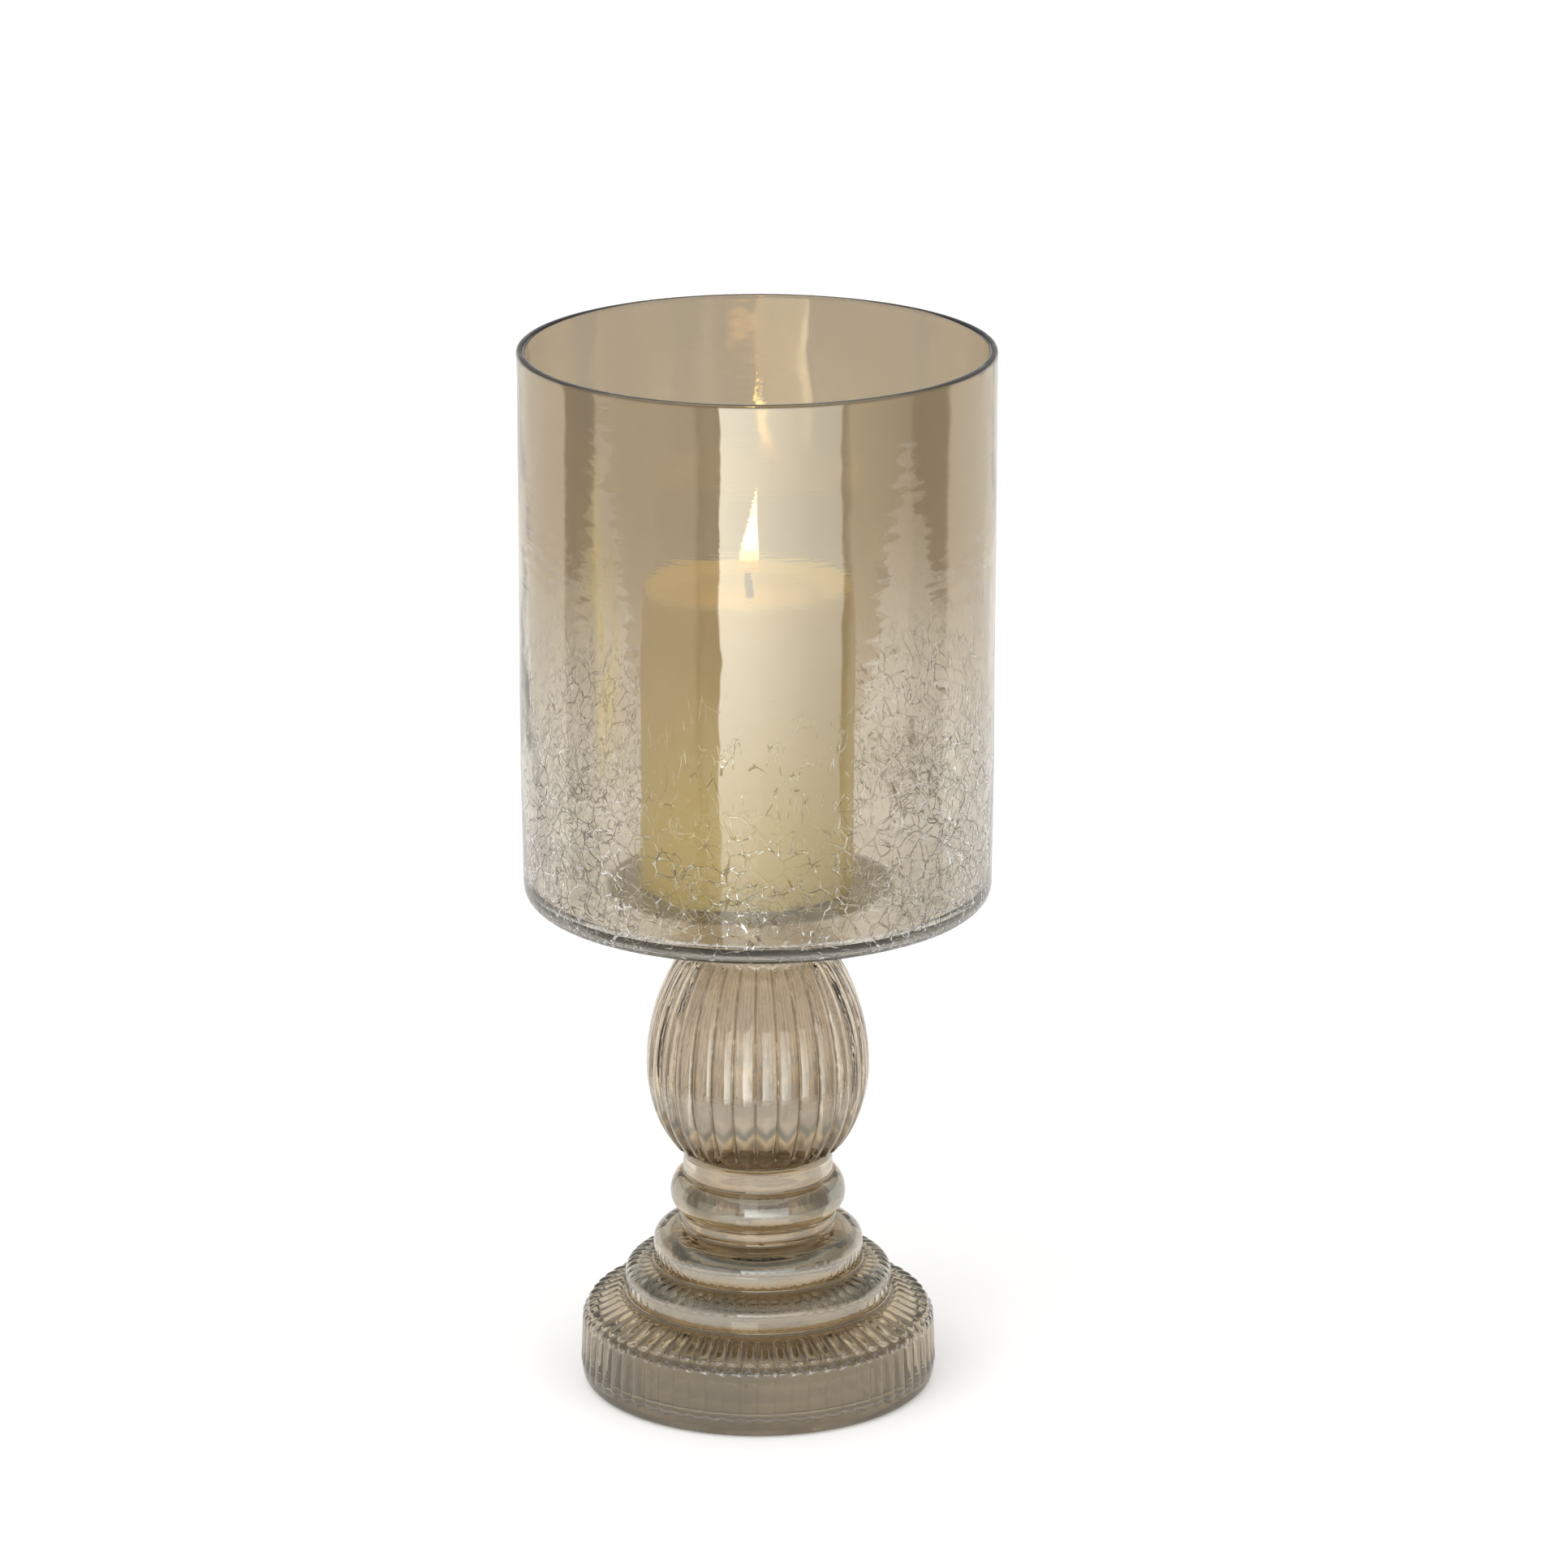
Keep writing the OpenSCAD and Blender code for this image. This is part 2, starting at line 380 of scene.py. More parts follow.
def turned(name, path, sides, relief, centre_x=0.0):
    """Turns a path round the axis. relief(angle, radius, height) in mm stands off the surface."""
    normals = outward(path)
    angles = np.arange(sides) * 2 * math.pi / sides
    angle, radius = np.meshgrid(angles, path[:, 0])
    height = np.repeat(path[:, 1:], sides, axis=1)
    on_axis = path[:, 0] < 0.01
    lift = relief(angle, radius, height)
    lift[on_axis] = 0
    radius = radius + lift * normals[:, :1]
    height = height + lift * normals[:, 1:]
    place = np.stack([centre_x + radius * np.sin(angle), -radius * np.cos(angle), height], axis=2)
    index = np.zeros((len(path), sides), int)
    points = []
    for row, single in enumerate(on_axis):
        first = len(points)
        if single:
            points.append(place[row, 0])
            index[row] = first
        else:
            points.extend(place[row])
            index[row] = first + np.arange(sides)
    near = index[:-1]
    far = index[1:]
    quads = np.stack([near, np.roll(near, -1, 1), np.roll(far, -1, 1), far], axis=2)
    faces = []
    for row in range(len(path) - 1):
        if on_axis[row] and on_axis[row + 1]:
            continue
        if on_axis[row]:
            faces += quads[row][:, [0, 2, 3]].tolist()
        elif on_axis[row + 1]:
            faces += quads[row][:, [0, 1, 2]].tolist()
        else:
            faces += quads[row].tolist()
    return new_piece(name, points, faces)


def tube(name, stations, sides, skin, capped=False):
    """A skin round stations + 1 rings. skin(t, angle) gives a point at t from 0 to 1."""
    points = [skin(i / stations, 2 * math.pi * j / sides)
              for i in range(stations + 1) for j in range(sides)]
    faces = []
    for i in range(stations):
        for j in range(sides):
            a = i * sides + j
            b = i * sides + (j + 1) % sides
            faces.append((a, b, b + sides, a + sides))
    if capped:
        faces.append(tuple(range(sides))[::-1])
        faces.append(tuple(range(stations * sides, (stations + 1) * sides)))
    return new_piece(name, points, faces)


def placed(piece, body, material, replaces=()):
    """Dresses a piece and ties it to its body, and to the nodes that it stands in for."""
    piece.data.materials.clear()
    piece.data.materials.append(material)
    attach(piece, body)
    if replaces:
        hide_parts(*replaces)
    return piece


def ripples(angle, radius, height, size, seed):
    """Uneven blown glass: slow waves in a few directions, between -1 and 1."""
    x = radius * np.sin(angle) / size
    y = radius * np.cos(angle) / size
    z = height / size
    total = np.zeros_like(x)
    rng = np.random.default_rng(seed)
    for _ in range(7):
        way = rng.normal(size=3)
        total = total + np.sin(way[0] * x + way[1] * y + way[2] * z + rng.uniform(0, 6.28))
    return total / 7


# ---------------------------------------------------------------- glass pieces

def ribbing(angle, count):
    """1 along the crest of each rib and 0 in the groove between two ribs."""
    across = angle * count / (2 * math.pi)
    return 1 - (2 * (across - np.floor(across)) - 1) ** 2


def pedestal_relief(angle, radius, height):
    """Fluted egg, ribbed foot and treads, and the risers' fine ribs, cut into the outside."""
    rib = ribbing(angle, FOOT_RIBS)
    wall = smooth(height, 6.6 - 1.4 * rib, 7.4 - 1.4 * rib)
    wall = wall * smooth(height, 21.2 + 2.2 * rib, 20.4 + 2.2 * rib)
    bulb = smooth(radius, 55.6 + 1.4 * rib, 54.6 + 1.4 * rib) * smooth(radius, 44.6, 46.2)
    on_wall = smooth(height, 24.4, 23.2)
    off_foot = smooth(height, LOWER_STEP_Z, LOWER_STEP_Z + 1.2)
    foot = -FOOT_RIB_DEPTH * on_wall * (1 - rib * wall)
    foot = foot - SHOULDER_RIB_DEPTH * (1 - on_wall) * (1 - off_foot) * (1 - rib * bulb)
    lower_riser = off_foot * smooth(height, LOWER_TOP_Z - 2, LOWER_TOP_Z - 5)
    lower_tread = smooth(height, 37.8, 39.6) * smooth(height, 42.4, 41.2)
    tread_rib = rib * smooth(radius, 34.8, 36.4)
    upper_riser = smooth(height, UPPER_STEP_Z + 0.6, UPPER_STEP_Z + 2)
    upper_riser = upper_riser * smooth(height, UPPER_TOP_Z - 3, UPPER_TOP_Z - 7)
    steps = -(LOWER_RISER_DEPTH * lower_riser + UPPER_RISER_DEPTH * upper_riser) * (1 - rib)
    steps = steps - TREAD_NOTCH_DEPTH * lower_tread * (1 - tread_rib)
    flute = ribbing(angle + FLUTE_TURN, FLUTES)
    arch = 1.0 - flute
    egg = smooth(height, 79.8 + 1.8 * arch, 81.8 + 1.8 * arch)
    egg = egg * smooth(height, 149.0 - 3.0 * arch, 147.0 - 3.0 * arch)
    around = smooth(height, 78.0, 80.0) * smooth(height, 151.5, 148.5)
    flutes = -FLUTE_DEPTH * around * (1 - flute * egg)
    seam = np.abs(np.sin(angle - SEAM_TURN)) * radius
    seam = SEAM_HEIGHT * smooth(seam, 1.3, 0.1)
    seam = seam * smooth(height, 52.0, 55.5) * smooth(height, 62.0, 58.0)
    waves = PEDESTAL_WAVE * ripples(angle, radius, height, 9, 4) * smooth(height, 5, 12)
    return (foot + steps + flutes + seam + waves - SLACK) * smooth(height, 0.0, 3.0)


def make_pedestal(material):
    outside = rounded([
        (0, PUNT_H, 0), (PUNT_R, PUNT_H, 4), (FOOT_RING_R, 0, 1), (FOOT_R, 0, 4),
        (FOOT_R - FOOT_TAPER, FOOT_H, 6.2),
        (LOWER_STEP_R, LOWER_STEP_Z, 1), (LOWER_STEP_R, LOWER_TOP_Z, 4.6),
        (UPPER_STEP_R, UPPER_STEP_Z, 1), (UPPER_STEP_R, UPPER_TOP_Z, 5.0),
        (COLLAR_R, WAIST_Z, 1), (COLLAR_R, BEAD_Z, 0.5), (BEAD_R, BEAD_Z, 1.2),
        (BEAD_R, BEAD_Z + BEAD_H, 1.2), (COLLAR_R, BEAD_Z + BEAD_H, 0.5),
        *bulge(COLLAR_R, RING_R, COLLAR_R, COLLAR_R, RING_Z, RING_LOWER_H, RING_UPPER_H),
        *bulge(0, EGG_R, COLLAR_R, NECK_R, EGG_Z, EGG_LOWER_H, EGG_UPPER_H),
        (NECK_R, MOUTH_Z, 0.6), (NECK_R - GLASS_T, MOUTH_Z, 0)])
    inside = rounded([
        (0, 9, 0), (PUNT_R, 9, 4), (FOOT_RING_R, 5, 1), (FOOT_R - GLASS_T, 5, 4),
        (FOOT_R - FOOT_TAPER - GLASS_T, FOOT_H - GLASS_T, 6.2),
        (LOWER_STEP_R - GLASS_T, LOWER_STEP_Z - GLASS_T, GLASS_T),
        (LOWER_STEP_R - GLASS_T, LOWER_TOP_Z - GLASS_T, 3.3),
        (UPPER_STEP_R - GLASS_T, UPPER_STEP_Z - GLASS_T, GLASS_T),
        (UPPER_STEP_R - GLASS_T, UPPER_TOP_Z - GLASS_T, 3.3),
        (COLLAR_R - GLASS_T, WAIST_Z - GLASS_T, GLASS_T),
        *bulge(COLLAR_R - GLASS_T, RING_R - GLASS_T, COLLAR_R - GLASS_T, COLLAR_R - GLASS_T,
               RING_Z, RING_LOWER_H, RING_UPPER_H),
        *bulge(0, EGG_R - GLASS_T, COLLAR_R - GLASS_T, NECK_R - GLASS_T,
               EGG_Z, EGG_LOWER_H, EGG_UPPER_H),
        (NECK_R - GLASS_T, MOUTH_Z, 0)])
    outer = densified(outside, 0.8)
    inner = densified(inside[::-1], 3.0)
    path = np.vstack([outer, inner[1:]])
    split = len(outer) - 1

    def relief(angle, radius, height):
        lift = pedestal_relief(angle, radius, height)
        inner_wave = ripples(angle[split:], radius[split:], height[split:], 12, 9)
        lift[split:] = INSIDE_WAVE * inner_wave
        return lift

    piece = turned("pedestal_glass", path, 960, relief)
    return placed(piece, "lantern", material, ["pedestal"])


def make_shade(material):
    taper_z = SHADE_BOTTOM + SHADE_TAPER_H
    inner_r = SHADE_R - SHADE_WALL
    path = densified(rounded([
        (0, SHADE_BOTTOM, 0), (SHADE_R - SHADE_TAPER, SHADE_BOTTOM, SHADE_EDGE_R),
        (SHADE_R, taper_z, SHADE_TAPER_H), (SHADE_R, SHADE_RIM, RIM_EDGE_R),
        (inner_r, SHADE_RIM, RIM_EDGE_R), (inner_r, taper_z, SHADE_TAPER_H),
        (inner_r - SHADE_TAPER, SHADE_SEAT, SHADE_INNER_R), (0, SHADE_SEAT, 0)]), 2.0)

    def relief(angle, radius, height):
        slow = SHADE_WAVE * ripples(angle, radius, height * 0.5, 14, 2)
        quick = SHADE_RIPPLE * ripples(angle, radius, height * 2.4, 7, 5)
        away = smooth(height, SHADE_RIM, SHADE_RIM - 12)
        away = away * smooth(height, SHADE_SEAT, SHADE_SEAT + 8)
        below_rim = smooth(height, SHADE_RIM, SHADE_RIM - 6)
        return (slow + quick) * away - SLACK * (radius > 75) * below_rim

    piece = turned("shade_glass", path, 360, relief)
    return placed(piece, "lantern", material, ["shade"])


def make_candle(material):
    path = densified(rounded([
        (0, SHADE_SEAT, 0), (CANDLE_R, SHADE_SEAT, 1.2), (CANDLE_R, CANDLE_TOP, 0.9),
        (CANDLE_R - 3, CANDLE_TOP, 1.4), (CANDLE_R - 9, POOL_Z, 6), (0, POOL_Z, 0)]), 1.6)

    def relief(angle, radius, height):
        side = smooth(radius, CANDLE_R - 2, CANDLE_R - 1)
        dents = 0.35 * ripples(angle, radius, height, 16, 11)
        rim = smooth(height, CANDLE_TOP - 7, CANDLE_TOP)
        melted = 0.9 * rim * ripples(angle, radius, height * 0.2, 9, 12)
        hem = 0.8 * smooth(height, SHADE_SEAT + 5, SHADE_SEAT + 0.4)
        hem = hem * ripples(angle, radius, height * 0.5, 7, 13)
        return (dents + hem) * side + melted - 0.1 * side - 0.2 * rim

    piece = turned("candle_wax", path, 240, relief, CANDLE_X)
    return placed(piece, "candle", material, ["candle"])


def make_wick(material):
    """A braided wick that bends over at its charred end."""
    bottom = SHADE_SEAT + 1

    def skin(t, angle):
        z = bottom + (WICK_TOP - 0.2 - bottom) * t
        out = max(0.0, z - POOL_Z) / (WICK_TOP - POOL_Z)
        plait = 1 + 0.10 * math.sin(3 * angle + z * 2.6) + 0.06 * math.sin(5 * angle - z * 3.1)
        r = WICK_R * plait * (1 - 0.18 * out) * (0.55 if t == 1 else 1)
        x = CANDLE_X - WICK_BEND * out ** 2
        return (x + r * math.cos(angle), r * math.sin(angle), z)

    piece = tube("wick_braid", 60, 16, skin, capped=True)
    return placed(piece, "candle", material, ["wick"])


def make_flame(material):
    """A still teardrop of flame that leans a little, round the wick's end."""

    def skin(t, angle):
        widening = math.sin(math.pi / 2 * min(1, t / FLAME_WIDEST_AT)) ** 0.8
        narrowing = max(0.0, 1 - max(0.0, t - FLAME_WIDEST_AT) / (1 - FLAME_WIDEST_AT)) ** 1.15
        body = FLAME_R * widening * (0.18 * (1 - t) + 0.82 * narrowing) + 0.01
        x = CANDLE_X - WICK_BEND + FLAME_LEAN * t ** 1.2
        z = FLAME_BASE + FLAME_H * t
        return (x + body * math.cos(angle), 0.85 * body * math.sin(angle), z)

    return placed(tube("flame", 44, 32, skin), "candle", material)


# ---------------------------------------------------------------- finishes

def lustre_glass():
    """Smoked gold lustre at the rim that clears downwards into crackled glass."""
    f = finish("lustre_crackle_glass")
    place = f.place()
    x, y, z = f.axes(place)
    level = z * 1000
    front = y.ramp(0.0, -0.01)
    clear = rgb(0.83, 0.78, 0.70)
    smoked = rgb(0.638, 0.546, 0.402)
    gold = rgb(0.86, 0.72, 0.30)
    painted_rim_shade = rgb(0.42, 0.36, 0.29)
    painted_candle_shadow_tone = rgb(0.085, 0.065, 0.025)
    crack_shade_tone = rgb(0.27, 0.225, 0.165)
    crack_highlight_tone = rgb(1.0, 1.0, 1.0)

    # Smoke, and the clear runs in it
    drift = f.noise(f.stretched(place, (1, 1, 0.4)), 26, 3) - 0.5
    depth = level + drift * 34
    jag = f.noise(f.stretched(place, (1, 1, 11)), 40, 3) - 0.5
    tear = f.noise(f.stretched(place, (1.6, 1.6, 6)), 60, 3) - 0.5

    def clear_run(centre, top, spread, low):
        """A run in the smoke that widens downwards, with ragged sides."""
        width = (top - level) * spread + tear * 17 + 0.9
        inside = width - (x * 1000 - centre).size()
        inside = inside.ramp(0.0, 0.3) * level.ramp(top, top - 1.5)
        return inside * level.ramp(low, low + 30) * front

    runs = clear_run(-47.5, 345, 0.095, 240).largest(clear_run(46.5, 332, 0.155, 225))
    torn = (285 - level + tear * 75).ramp(0, 1.2) * x.size().ramp(0.049, 0.0515) * front
    runs = runs.largest(torn * 0.7)
    smoke = depth.ramp(SMOKE_FADES_Z, SMOKE_FULL_Z) * (1 - runs * 0.92)
    radius = (x * x + y * y) ** 0.5
    outside = radius.ramp(0.0742, 0.0752)
    tint = f.blend(smoke, clear, smoked)

    # Gold stains and threads, painted shade on the rim, and a painted shadow of the candle on the
    # floor of the glass
    stains = f.noise(f.stretched(place, (1, 1, 0.12)), 70, 2).ramp(0.60, 0.70) * (1 - front)
    streak = (x + 0.0465).size().ramp(0.0065, 0.001) * front
    threads = f.noise(f.stretched(place, (1, 1, 0.07)), 520, 2).ramp(0.42, 0.58)
    amber = stains.largest(streak * threads)
    amber = amber * level.ramp(308, 292) * level.ramp(212, 240) * 0.5
    tint = f.blend(amber, tint, gold)
    # Painted shade: the rim's top is darkened
    tint = f.blend(level.ramp(SHADE_RIM - 1.4, SHADE_RIM - 0.5), tint, painted_rim_shade)
    walls = radius.ramp(0.0690, 0.0715)
    seat = level.ramp(168.5, 169.8) * level.ramp(173.5, 171.5) * (1 - walls)
    # Painted shadow and reflection of the candle: a dark disc on the glass floor round its foot
    off_centre = x - CANDLE_X * MM
    painted_candle_shadow = ((off_centre * off_centre + y * y) ** 0.5).ramp(0.0480, 0.0450)
    tint = f.blend(seat * painted_candle_shadow, tint, painted_candle_shadow_tone)

    # Crackle of three sizes, which starts lower in front of the candle. The cracks are real, but
    # their dark and white colours are painted shade and painted highlight
    over_candle = x.size().ramp(0.044, 0.036) * front
    start = depth + over_candle * 26
    low = start.ramp(CRACKLE_TOP_Z, CRACKLE_DENSE_Z)
    mid = start.ramp(TALL_CRACKS_TOP_Z, TALL_CRACKS_DENSE_Z) * (1 - low)
    warp = f.noise(place, 95, 2, out="Color")
    bent = f.add("ShaderNodeVectorMath", {"operation": "MULTIPLY_ADD"},
                 {0: warp, 1: (0.0045, 0.0045, 0.0045), 2: place})
    near_edge = f.cell_edge(bent, 150)
    small_edge = f.cell_edge(bent, 300)
    tall_edge = f.cell_edge(f.stretched(bent, (1.2, 1.2, 0.40)), 190)
    patches = f.noise(place, 60, 2)
    fine = near_edge.ramp(0.040, 0.015) * low * patches.ramp(0.28, 0.36)
    small = small_edge.ramp(0.044, 0.016) * depth.ramp(200, 182) * patches.ramp(0.44, 0.54)
    tall = tall_edge.ramp(0.030, 0.011) * mid * f.noise(place, 140).ramp(0.50, 0.57) * 0.8
    broken = f.noise(place, 150, 2)
    shown = broken.ramp(0.34, 0.46) * 0.5 + 0.5
    shown = shown * (1 - over_candle * broken.ramp(0.54, 0.46) * 0.75)
    lines = (fine.largest(small) * shown).largest(tall) * walls
    # Which crack lines are painted white as highlight instead of dark as shade
    crack_highlights = f.noise(place, 300, 1).ramp(0.43, 0.50)
    colour = f.blend(lines, tint, f.blend(crack_highlights, crack_shade_tone, crack_highlight_tone))

    # Form and lustre of the surface
    ripple = jag * depth.ramp(250, 300) * level.ramp(346, 320)
    sway = f.noise(f.stretched(place, (1, 1, 0.35)), 28, 2)
    cut = lines * -1 * (level.ramp(215, 190) * 0.25 + 0.36)
    height = cut + ripple * 0.3 + sway * 1.9 + f.noise(place, 70, 1) * 0.5
    normal = f.bump(height, 0.0006, 0.5)
    lustre = (smoke ** 1.6 * 0.31 + level.ramp(168, 240) * 0.065 + 0.035) * outside
    glint = lines * crack_highlights * f.noise(place, 620, 1).ramp(0.50, 0.58)
    lustre = lustre.largest(seat * 0.17).largest(glint * (0.9 - over_candle * 0.35))
    shader = f.coated(base_color=colour, metallic=lustre, transmission_weight=1.0, ior=1.5,
                      roughness=level.ramp(178, 166) * 0.13 + 0.015, normal=normal)
    return f.output(f.letting_light_through(shader, rgb(0.93, 0.90, 0.85)))


def ribbed_glass():
    """Smoke glass with a thin lustre, with painted shade in its recesses and grooves, and painted
    highlights and dark reflections on its steps and ring.
    """
    f = finish("ribbed_pedestal_glass")
    place = f.place()
    x, y, z = f.axes(place)
    level = z * 1000
    clear = rgb(0.86, 0.785, 0.68)
    smoke = rgb(0.78, 0.715, 0.62)
    foot = rgb(0.54, 0.475, 0.37)
    taupe = rgb(0.76, 0.67, 0.525)
    pale = rgb(0.80, 0.76, 0.69)
    brown_stain_and_shade = rgb(0.85, 0.69, 0.465)
    umber_shade = rgb(0.31, 0.235, 0.14)
    olive = rgb(0.58, 0.54, 0.455)
    painted_dark_reflection = rgb(0.37, 0.38, 0.345)
    painted_groove_shade = rgb(0.38, 0.285, 0.17)
    streak_tone = rgb(0.52, 0.40, 0.26)
    speck_tone = rgb(0.28, 0.2, 0.12)
    painted_edge_highlight = rgb(0.98, 0.95, 0.89)
    notch = f.groove(x, y, FOOT_RIBS)
    flute = f.groove(x, y, FLUTES, FLUTE_TURN)
    in_bulb = level.ramp(82, 90) * level.ramp(114, 102)
    wander = f.noise(place, 70, 2) * 2 - 1 - in_bulb * (flute * 4 + f.noise(place, 48, 2) * 12 - 6)

    # Tones by height in millimetres, in a ramp that runs from 0 to span. Besides the glass's own
    # tones, the pale bands on the risers are painted highlight, the slate bands at the step edges
    # and low on the egg are painted dark reflection, and the brown and umber bands at the treads,
    # the recesses and the egg's underside are painted shade
    span = 170
    rows = [(21.5, foot), (24.5, taupe), (28, taupe), (31, brown_stain_and_shade), (32.5, pale), (36, pale),
            (37.3, painted_dark_reflection), (40.0, painted_dark_reflection), (40.7, brown_stain_and_shade), (43, brown_stain_and_shade), (44.5, pale), (48, pale),
            (49.3, painted_dark_reflection), (52.0, painted_dark_reflection), (52.6, brown_stain_and_shade), (54, brown_stain_and_shade), (56, smoke), (58, brown_stain_and_shade),
            (61, brown_stain_and_shade), (63.5, olive), (69, olive), (71.5, brown_stain_and_shade), (74, smoke), (77, smoke),
            (79, brown_stain_and_shade), (81, umber_shade), (87.5, umber_shade), (91, brown_stain_and_shade), (92.5, painted_dark_reflection), (94, painted_dark_reflection),
            (96, smoke), (106, clear)]
    bands = f.stops((level + wander) / span, *[(height / span, tint) for height, tint in rows])
    # Painted highlight where the ring faces front and back, and painted shade towards its sides
    ring = level.ramp(61.5, 63.5) * level.ramp(71.0, 69.0)
    bands = f.blend(ring * x.size().ramp(0.017, 0.008), bands, pale)
    bands = f.blend(ring * x.size().ramp(0.014, 0.023), bands, painted_dark_reflection)
    # Random brown stains of the glass itself
    stain = f.noise(place, 26, 3).ramp(0.35, 0.68)
    colour = f.blend(stain * 0.3, bands, brown_stain_and_shade)

    # Painted shade in the grooves, with specks and drawn streaks
    rib = notch * level.ramp(30.5, 29.5) * level.ramp(4, 6)
    flute = flute * level.ramp(78, 80) * level.ramp(151, 147)
    rib_line = rib.ramp(0.80, 0.97) * (0.3 + x.size().ramp(0.018, 0.036) * 0.35)
    line = flute.ramp(0.78, 0.96).largest(rib_line) * f.noise(place, 240, 2).ramp(0.32, 0.50)
    colour = f.blend(line * 0.85, colour, painted_groove_shade)
    specks = f.noise(place, 420, 2).ramp(0.70, 0.76)
    colour = f.blend(specks * 0.5, colour, speck_tone)
    deep = f.noise(f.stretched(place, (1, 1, 0.6)), 85, 3)
    streak = f.noise(f.stretched(place, (1, 1, 0.10)), 380, 2)
    drawn = level.ramp(80, 86) * level.ramp(150, 144)
    colour = f.blend(streak.ramp(0.56, 0.70) * drawn * 0.30, colour, streak_tone)

    # Painted highlights along the top and the bottom edges of the foot's wall
    scallop = (level - 23.1 + notch * 2.0).size().ramp(0.62, 0.25)
    hem = (level - 6.2 - notch * 0.6).size().ramp(0.5, 0.2) * 0.6
    colour = f.blend(scallop.largest(hem) * 0.85, colour, painted_edge_highlight)
    cut = flute.largest(rib * 0.8).ramp(0.72, 1.0)
    normal = f.bump(deep * 0.9 - cut * 0.6 + streak * drawn * 0.35, 0.0006, 0.4)
    lustre = 0.27 - level.ramp(80, 130) * 0.07
    shader = f.coated(base_color=colour, metallic=lustre, transmission_weight=1.0, ior=1.5,
                      roughness=0.02, normal=normal)
    return f.output(f.letting_light_through(shader, rgb(0.85, 0.80, 0.72)))


def wax():
    f = finish("ivory_wax")
    place = f.place()
    z = f.axes(place)[2] * 1000
    cloud = f.noise(place, 40, 4).ramp(0.3, 0.7)
    colour = f.blend(cloud, rgb(0.78, 0.645, 0.245), rgb(0.82, 0.70, 0.30))
    # Darker and yellower towards the bottom
    colour = f.blend(z.ramp(228, 180) * 0.5, colour, rgb(0.72, 0.585, 0.20))
    # Painted glow of the flame on the top of the candle
    painted_flame_glow = z.ramp(248, 271)
    colour = f.blend(painted_flame_glow * 0.5, colour, rgb(0.88, 0.74, 0.42))
    normal = f.bump(f.noise(place, 120, 4), 0.0008, 0.3)
    shader = f.coated(base_color=colour, roughness=0.42, subsurface_weight=0.45,
                      subsurface_radius=(0.010, 0.007, 0.004), subsurface_scale=1.0, ior=1.44,
                      normal=normal)
    return f.output(shader)


def charred_cotton():
    f = finish("charred_cotton")
    place = f.place()
    z = f.axes(place)[2] * 1000
    burnt = (z + f.noise(place, 500) * 2).ramp(POOL_Z + 0.5, POOL_Z + 2.5)
    colour = f.blend(burnt, rgb(0.62, 0.52, 0.34), rgb(0.045, 0.04, 0.036))
    ash = f.noise(place, 900, 3).ramp(0.55, 0.75) * burnt
    colour = f.blend(ash * 0.5, colour, rgb(0.20, 0.18, 0.16))
    normal = f.bump(f.noise(f.stretched(place, (1, 1, 0.3)), 1500), 0.0003, 0.7)
    return f.output(f.coated(base_color=colour, roughness=0.9, normal=normal))


def fire():
    f = finish("flame_light")
    place = f.place()
    z = f.axes(place)[2] * 1000
    edge = f.add("ShaderNodeLayerWeight", None, {"Blend": 0.35}, "Facing")
    hot = f.stops(z.ramp(WICK_TOP - 2.6, WICK_TOP + 28),
                  (0.0, rgb(0.10, 0.04, 0.01)), (0.14, rgb(0.45, 0.19, 0.05)),
                  (0.26, rgb(0.95, 0.66, 0.24)), (0.42, rgb(1.0, 0.93, 0.60)),
                  (1.0, rgb(0.92, 0.70, 0.30)))
    colour = f.blend(edge.ramp(0.35, 0.95), hot, rgb(0.55, 0.27, 0.07))
    # Seen with no glass before it, the flame would burn out to white
    bare = f.blend(edge.ramp(0.20, 0.75), rgb(0.19, 0.163, 0.075), rgb(0.185, 0.115, 0.025))
    no_glass = f.light_path("Is Camera Ray")
    colour = f.blend(no_glass * z.ramp(WICK_TOP + 1, WICK_TOP + 7), colour, bare)
    glow = f.add("ShaderNodeEmission", None, {"Color": colour, "Strength": 5.5})
    clear = f.add("ShaderNodeBsdfTransparent")
    soft = edge.ramp(0.30, 0.92)
    root = z.ramp(WICK_TOP + 2.8, WICK_TOP - 1.0)
    return f.output(f.add("ShaderNodeMixShader", None, {0: soft.largest(root), 1: glow, 2: clear}))


def clear_bond():
    f = finish("clear_adhesive")
    place = f.place()
    colour = f.blend(f.noise(place, 300, 2), rgb(0.92, 0.90, 0.84), rgb(0.98, 0.97, 0.93))
    normal = f.bump(f.noise(place, 700, 2), 0.0002, 0.4)
    shader = f.coated(base_color=colour, transmission_weight=1.0, ior=1.48, roughness=0.06,
                      normal=normal)
    return f.output(f.letting_light_through(shader, rgb(0.9, 0.88, 0.82)))


def stamped_tin():
    f = finish("stamped_tin")
    place = f.place()
    scratch = f.noise(f.stretched(place, (1, 14, 1)), 400, 3)
    colour = f.blend(scratch, rgb(0.62, 0.62, 0.63), rgb(0.80, 0.79, 0.77))
    normal = f.bump(scratch, 0.0001, 0.4)
    rough = scratch.ramp(0.3, 0.7) * 0.15 + 0.28
    return f.output(f.coated(base_color=colour, metallic=1.0, roughness=rough, normal=normal))


# ---------------------------------------------------------------- studio

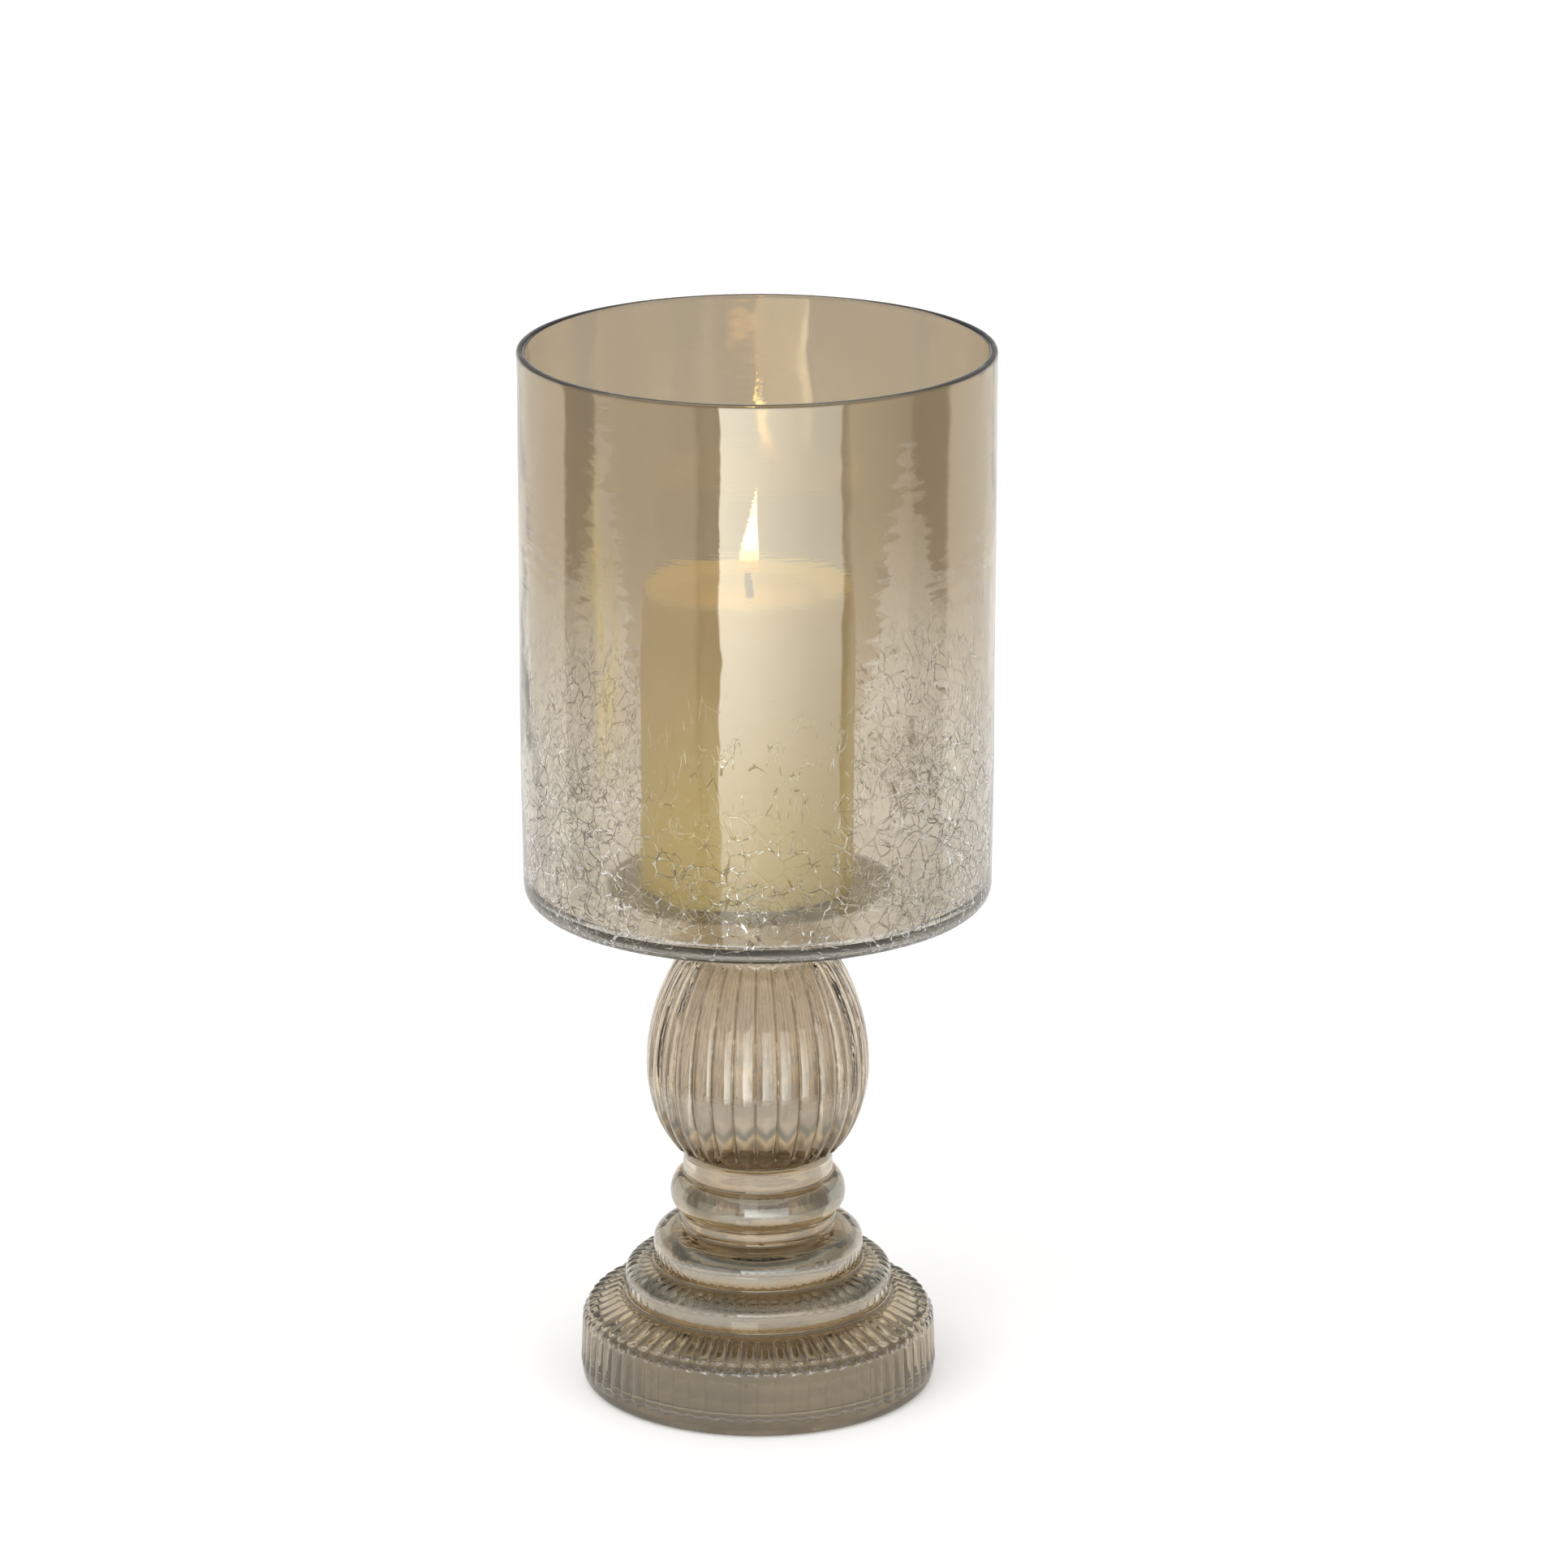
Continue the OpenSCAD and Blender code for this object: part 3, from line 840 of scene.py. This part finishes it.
def studio_world():
    """White behind the part and through its glass. Reflections see a ring of soft boxes."""
    f = Finish(bpy.data.worlds.new("studio"))
    bpy.context.scene.world = f.owner
    way = f.add("ShaderNodeTexCoord", out="Generated")
    x, y, z = f.axes(way)
    azimuth = x.maths("ARCTAN2", x, y * -1) * (180 / math.pi)

    soft_boxes = [
        (-180, rgb(0.98, 0.96, 0.92)), (-107, rgb(0.98, 0.96, 0.92)),
        (-104, rgb(0.36, 0.35, 0.34)), (-86, rgb(0.36, 0.35, 0.34)),
        (-83, rgb(0.84, 0.81, 0.76)), (-30, rgb(0.72, 0.69, 0.64)),
        (-28.5, rgb(0.48, 0.46, 0.42)), (-18, rgb(0.48, 0.46, 0.42)),
        (0, rgb(0.6, 0.6, 0.6)),
        (39, rgb(0.50, 0.47, 0.42)), (43, rgb(0.52, 0.49, 0.44)),
        (44.5, rgb(0.82, 0.79, 0.72)), (78, rgb(0.56, 0.54, 0.50)),
        (81, rgb(0.35, 0.34, 0.33)), (102, rgb(0.35, 0.34, 0.33)),
        (106, rgb(0.96, 0.95, 0.92)), (180, rgb(0.98, 0.96, 0.92))]
    ring = f.stops(azimuth / 360 + 0.5,
                   *[((degrees + 180) / 360, tone) for degrees, tone in soft_boxes])
    through = f.light_path("Transmission Depth").above(1.5)
    dark_band = (z.ramp(0.10, 0.26) * (1 - through)).largest(z.ramp(0.36, 0.50))
    ring = f.blend(dark_band * z.ramp(0.80, 0.62), ring, rgb(0.34, 0.35, 0.36))
    ceiling = f.blend(through, rgb(0.42, 0.43, 0.43), rgb(1.0, 1.0, 0.98))
    ring = f.blend(z.ramp(0.62, 0.80), ring, ceiling)
    ring = f.blend(z.ramp(-0.42, -0.60), ring, rgb(0.85, 0.84, 0.82))
    front_panel = azimuth.ramp(-18.8, -17.4) * azimuth.ramp(41, 39.5)
    rear_panel = azimuth.ramp(-27, -25.5) * azimuth.ramp(1, -0.5)
    panel = front_panel * (1 - through) + rear_panel * through
    panel = panel * z.ramp(-0.50, -0.32) * z.ramp(0.30, 0.24)
    bright = azimuth.ramp(45, -25) * 1.25 + 1.27
    turns = f.light_path("Glossy Depth").above(0.5)
    spread = f.light_path("Diffuse Depth").above(0.5)
    ring = f.blend(panel, ring, rgb(0.93, 1.0, 1.05))
    seen = f.blend(turns, rgb(1, 1, 1), ring)
    seen = f.blend(spread, seen, rgb(0.72, 0.72, 0.71))
    power = panel * (bright - 1) * z.ramp(0.30, -0.22) * turns * (1 - spread) + 1
    return f.output(f.add("ShaderNodeBackground", None, {"Color": seen, "Strength": power}),
                    "ShaderNodeOutputWorld")


def make_floor():
    """A pale floor. Beyond the table's reach, reflections see the studio in its place."""
    f = finish("pale_floor")
    place = f.place()
    x, y, z = f.axes(place)
    grain = f.noise(place, 60, 3)
    colour = f.blend(grain, rgb(0.93, 0.93, 0.925), rgb(0.95, 0.95, 0.945))
    seen = f.light_path("Is Camera Ray")
    lift = f.blend(seen, rgb(0, 0, 0), rgb(0.16, 0.16, 0.16))
    paper = f.coated(base_color=colour, roughness=0.85, specular_ior_level=0.1,
                     emission_color=lift, emission_strength=1.0)
    glossy = f.light_path("Glossy Depth").above(0.5)
    far = ((x * x + y * y) ** 0.5).ramp(0.19, 0.36)
    gone = f.add("ShaderNodeBsdfTransparent")
    f.output(f.add("ShaderNodeMixShader", None, {0: glossy * far, 1: paper, 2: gone}))
    reach = FLOOR_REACH
    corners = [(-reach, -reach, 0), (reach, -reach, 0), (reach, reach, 0), (-reach, reach, 0)]
    mesh = bpy.data.meshes.new("floor")
    mesh.from_pydata(corners, [], [(0, 1, 2, 3)])
    mesh.materials.append(f.owner)
    floor = bpy.data.objects.new("floor", mesh)
    bpy.context.collection.objects.link(floor)
    floor.location.z = -FLOOR_SINK


def link_unseen(lamp):
    """Adds a lamp that shines on the part but is never seen or mirrored itself."""
    lamp.visible_glossy = False
    lamp.visible_transmission = False
    lamp.visible_camera = False
    bpy.context.collection.objects.link(lamp)


def add_sun(name, place, strength, spread):
    data = bpy.data.lights.new(name, "SUN")
    data.energy = strength
    data.angle = math.radians(spread)
    lamp = bpy.data.objects.new(name, data)
    lamp.rotation_euler = (-Vector(place)).to_track_quat("-Z", "Y").to_euler()
    link_unseen(lamp)


def add_flame_light():
    data = bpy.data.lights.new("flame_glow", "POINT")
    data.energy = 0.018
    data.color = (1.0, 0.66, 0.34)
    data.shadow_soft_size = 0.004
    lamp = bpy.data.objects.new("flame_glow", data)
    lamp.location = (CANDLE_X * MM, 0, (WICK_TOP + 9) * MM)
    link_unseen(lamp)


def finish_node(name, material):
    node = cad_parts[name]
    node.data.materials.clear()
    node.data.materials.append(material)


add_camera()
studio_world()
make_floor()
add_sun("overhead", (-0.5, -0.7, 2.2), 0.5, 70)
add_sun("front_left", (-1.2, -1.8, 1.0), 1.2, 50)
add_sun("front_right", (1.5, -1.6, 0.8), 0.7, 50)
add_flame_light()

make_pedestal(ribbed_glass())
make_shade(lustre_glass())
make_candle(wax())
make_wick(charred_cotton())
make_flame(fire())
finish_node("bond_ring", clear_bond())
finish_node("wick_sustainer", stamped_tin())

bpy.context.scene.view_settings.view_transform = "Standard"
